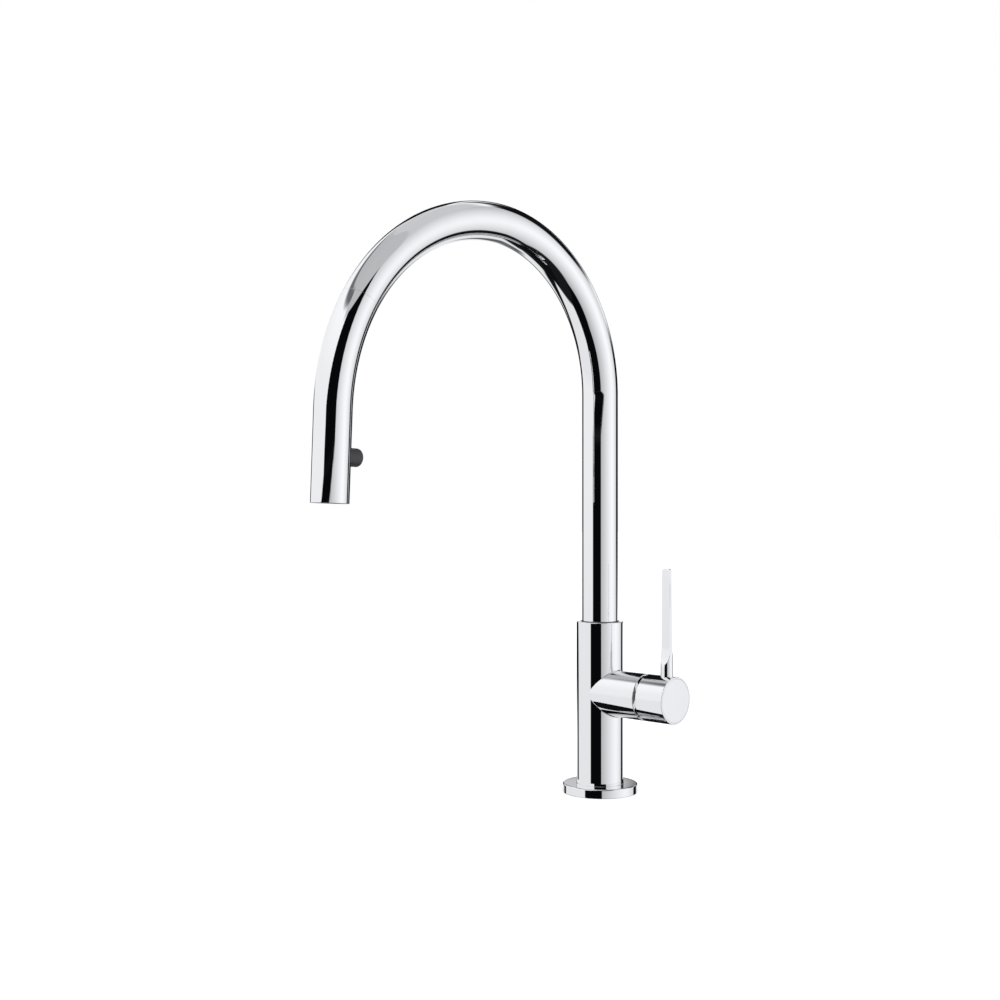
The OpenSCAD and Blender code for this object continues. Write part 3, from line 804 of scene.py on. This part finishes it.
# The chrome mirrors a painted dome. Each card has a tone from 0 to 255 as the chrome shows it, its left and
# right edges at its foot and at its head, in degrees round the column from the camera's direction (+ to its
# right), its lower and upper edges in degrees above the horizon, and the softness of its edges.
CARDS = [
    (198, (-180, -180), (180, 180), 56, 95, 3),
    (104, (-168, -120), (-22, -40), 50, 60, 3),
    (182, (-150, -110), (-24, -50), 58, 95, 2),
    (184, (-28, -40), (60, 60), 44, 95, 3),
    (24, (-180, -180), (180, 180), -95, -60, 3),
    (20, (112, 118), (181, 181), -95, -46, 3),
    (20, (-181, -181), (-128, -134), -95, -49, 3),
    (8, (-60, -51), (30, 2), -64, -34, 3),
    (8, (-51, -51), (2, 2), -38, 3.2, 0.4),
    (8, (-51, -36), (2, 23), 3.0, 4.9, 0.3),
    (8, (-36, -12), (23, 44), 4.7, 45, 0.4),
    (16, (112, 128), (150, 176), 22, 50, 3),
    (16, (112, 122), (154, 140), -64, -4, 3),
    (16, (-150, -148), (-128, -134), -64, -7, 3),
    (16, (-181, -181), (-150, -162), 24, 52, 3),
    (16, (122, 122), (170, 170), -4, 12, 3),
    (16, (158, 158), (181, 181), 8, 36, 2),
    (16, (-181, -181), (-164, -164), 8, 32, 2),
    (14, (-176, -176), (-139, -139), -9, 7, 2),
    (90, (168, 168), (181, 181), -36, -12, 3),
    (90, (-181, -181), (-170, -170), -36, -12, 3),
    (190, (-181, -181), (-176, -176), 9, 13, 1),
    (190, (174, 174), (181, 181), 9, 13, 1),
]
KEY_TURN = 80.0
PLATE_MIRROR = 0.885


def rise(value, edge, width):
    t = min(1.0, max(0.0, (value - edge) / (2 * width) + 0.5))
    return t * t * (3 - 2 * t)


def dome_tone(turn, height):
    """How bright the chrome shows a direction: a light wall, a soft key light on its right, the cards."""
    tone = 236.0 - 8.0 * rise(-height, 3, 6) + 10.0 * rise(height, 30, 16)
    side = (turn - KEY_TURN) * (1.25 if turn > KEY_TURN else 1.0)
    away = math.hypot(side, 1.1 * height)
    lit = max(176.0, 251.0 - 66.0 * (away / 75.0) ** 1.3)
    tone += (lit - tone) * rise(turn, 0, 4) * (1 - rise(turn, 128, 12))
    for shade, left, right, low, high, width in CARDS:
        along = min(1.0, max(0.0, (height - low) / (high - low)))
        start = left[0] + (left[1] - left[0]) * along
        stop = right[0] + (right[1] - right[0]) * along
        cover = rise(turn, start, width) * (1 - rise(turn, stop, width))
        cover *= rise(height, low, width) * (1 - rise(height, high, width))
        tone += (shade - tone) * cover
    return tone


def shine(tone):
    """Light that the dome gives, so that the chrome shows the tone."""
    c = tone / 255.0
    linear = c / 12.92 if c < 0.04045 else ((c + 0.055) / 1.055) ** 2.4
    return linear / PLATE_MIRROR


def card_material():
    material = bpy.data.materials.new("dome_paint")
    material.use_nodes = True
    tree = material.node_tree
    tree.nodes.clear()
    tone = tree.nodes.new("ShaderNodeAttribute")
    tone.attribute_name = "tone"
    light = tree.nodes.new("ShaderNodeEmission")
    out = tree.nodes.new("ShaderNodeOutputMaterial")
    tree.links.new(tone.outputs["Color"], light.inputs["Color"])
    tree.links.new(light.outputs["Emission"], out.inputs["Surface"])
    return material


def mirrored_only(name, mesh):
    """A stage piece that only the chrome's reflections see."""
    card = bpy.data.objects.new(name, mesh)
    bpy.context.scene.collection.objects.link(card)
    card.visible_camera = False
    card.visible_diffuse = False
    card.visible_shadow = False
    card.visible_transmission = False


def painted(name, verts, faces, tones, material):
    mesh = bpy.data.meshes.new(name)
    mesh.from_pydata([v * MM for v in verts], [], faces)
    layer = mesh.color_attributes.new("tone", "FLOAT_COLOR", "POINT")
    for item, tone in zip(layer.data, tones):
        item.color = (*[shine(tone + lean) for lean in (-1.0, 0.0, 2.0)], 1.0)
    mesh.materials.append(material)
    mirrored_only(name, mesh)


def toward(turn, height=0.0):
    """Direction at an angle round the column from the camera's side and at a height, in degrees."""
    flat = math.cos(math.radians(turn)) * TO_CAMERA + math.sin(math.radians(turn)) * TO_RIGHT
    return math.cos(math.radians(height)) * flat + math.sin(math.radians(height)) * Vector((0, 0, 1))


def build_dome(material):
    columns, rows = 288, 361
    verts, tones = [], []
    for i in range(rows):
        height = -90 + 180 * i / (rows - 1)
        for j in range(columns):
            turn = -180 + 360 * j / columns
            verts.append(8000 * toward(turn, height) + Vector((0, 0, 200)))
            tones.append(dome_tone(turn, height))
    painted("dome", verts, grid_faces(rows, columns), tones, material)


def floor_card(name, centre, inner, outer, left, right, tone, material, steps=24):
    """A card below the worktop, a sector of a ring round a point. Only the branch's underside sees it."""
    verts = []
    for radius in (inner, outer):
        for i in range(steps + 1):
            verts.append(centre + radius * toward(left + (right - left) * i / steps))
    painted(name, verts, grid_faces(2, steps + 1, closed_columns=False), [tone] * len(verts), material)


def build_studio():
    paint = card_material()
    build_dome(paint)
    floor_card("card_branch", Vector((45, -8, -60)), 64, 230, -190, -98, 14, paint)
    floor = bpy.data.meshes.new("floor")
    half = 6.0
    corners = [(-half, -half, 0), (half, -half, 0), (half, half, 0), (-half, half, 0)]
    floor.from_pydata(corners, [], [(0, 1, 2, 3)])
    floor.materials.append(floor_paint())
    ground = bpy.data.objects.new("floor", floor)
    ground.visible_glossy = False
    bpy.context.scene.collection.objects.link(ground)
    world = bpy.data.worlds.new("studio")
    world.use_nodes = True
    world.node_tree.nodes["Background"].inputs["Color"].default_value = (1, 1, 1, 1)
    world.node_tree.nodes["Background"].inputs["Strength"].default_value = 1.0
    bpy.context.scene.world = world
    bpy.context.scene.view_settings.view_transform = "Standard"


add_camera()
finish_nodes()
build_spout()
build_head()
build_nozzles()
dress(build_body(), "faucet_body", "chrome", "main_body")
build_fittings()
build_underside()
build_hose()
build_spring()
build_studio()
